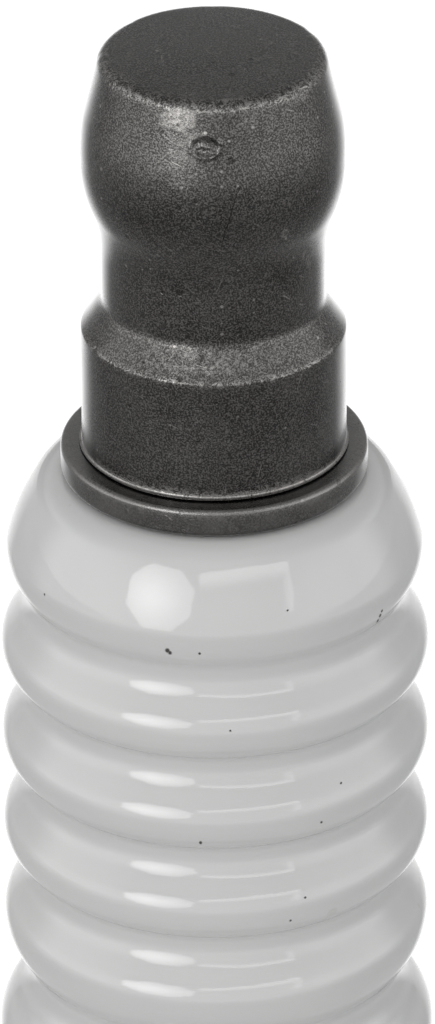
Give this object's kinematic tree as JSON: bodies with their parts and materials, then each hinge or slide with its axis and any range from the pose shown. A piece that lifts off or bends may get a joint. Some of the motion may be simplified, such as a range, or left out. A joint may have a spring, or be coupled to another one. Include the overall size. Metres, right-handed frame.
{
  "type": "spark plug",
  "caption": "Motorcycle spark plug with a threaded shell, hexagon, ribbed ceramic insulator, screw-on terminal nut and bent ground electrode.",
  "frame": {"origin": "on the plug's axis in the plane of the gasket's underside, which is the plane of the cylinder head's spot face", "axes": "+Z along the axis towards the terminal, -Y square to one flat of the hexagon, +X towards the ground electrode's weld"},
  "size_m": [0.0208, 0.018, 0.0749],
  "materials": {
    "terminal_steel": "dark oxidised steel, satin, with fine scratches and bright worn edges",
    "stud_steel": "dark oxidised steel, turned",
    "glazed_alumina": "white gloss glaze with a few dark pinholes",
    "conductive_glass": "fused glass loaded with metal powder, opaque",
    "resistor_mix": "matt carbon and ceramic mix",
    "nickel_alloy": "drawn nickel alloy, satin",
    "copper": "pressed copper",
    "plated_steel": "satin nickel plate on turned steel",
    "packing_wire": "soft iron wire",
    "talc": "pressed talc powder",
    "gasket_steel": "zinc-plated sheet steel"
  },
  "bodies": {
    "plug_body": {"terminal_stud": "stud_steel", "insulator": "glazed_alumina", "upper_glass_seal": "conductive_glass", "resistor": "resistor_mix", "lower_glass_seal": "conductive_glass", "center_electrode": "nickel_alloy", "center_electrode_core": "copper", "shell": "plated_steel", "upper_packing_ring": "packing_wire", "talc_filling": "talc", "lower_packing_ring": "packing_wire", "seat_packing": "packing_wire"},
    "terminal_nut": {"terminal_nut": "terminal_steel"},
    "gasket": {"gasket": "gasket_steel"},
    "ground_electrode": {"ground_electrode": "nickel_alloy"}
  },
  "joints": [
    {"name": "terminal_nut_removal", "type": "slide", "parent": "plug_body", "child": "terminal_nut", "axis": [0, 0, 1], "range_m": [0, 0.009]},
    {"name": "gasket_float", "type": "slide", "parent": "plug_body", "child": "gasket", "axis": [0, 0, 1], "range_m": [-0.0006, 0]},
    {"name": "gap_setting", "type": "hinge", "parent": "plug_body", "child": "ground_electrode", "pos_m": [0.00458, 0, -0.017], "axis": [0, 1, 0], "range_deg": [-3, 3]}
  ]
}
